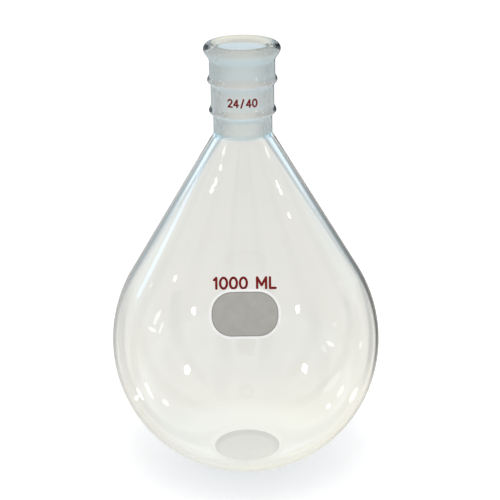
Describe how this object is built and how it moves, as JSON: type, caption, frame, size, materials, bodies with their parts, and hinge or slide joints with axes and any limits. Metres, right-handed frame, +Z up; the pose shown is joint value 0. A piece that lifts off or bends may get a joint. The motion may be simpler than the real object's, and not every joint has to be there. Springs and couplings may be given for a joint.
{
  "type": "pear-shaped flask",
  "caption": "Pear-shaped glass evaporating flask: round bowl, straight cone, beaded neck with rolled lip, ground taper socket, flattened base and marking spot.",
  "frame": {"origin": "centre of the flattened base, on the plane it rests on", "axes": "+Z up the flask's axis and out of its mouth; the marking spot faces -Y; +X is to the right seen from the spot's side"},
  "size_m": [0.131, 0.131, 0.2121],
  "materials": {
    "glass": "clear, with a ground socket"
  },
  "bodies": {
    "root": {"flask": "glass"}
  },
  "joints": []
}
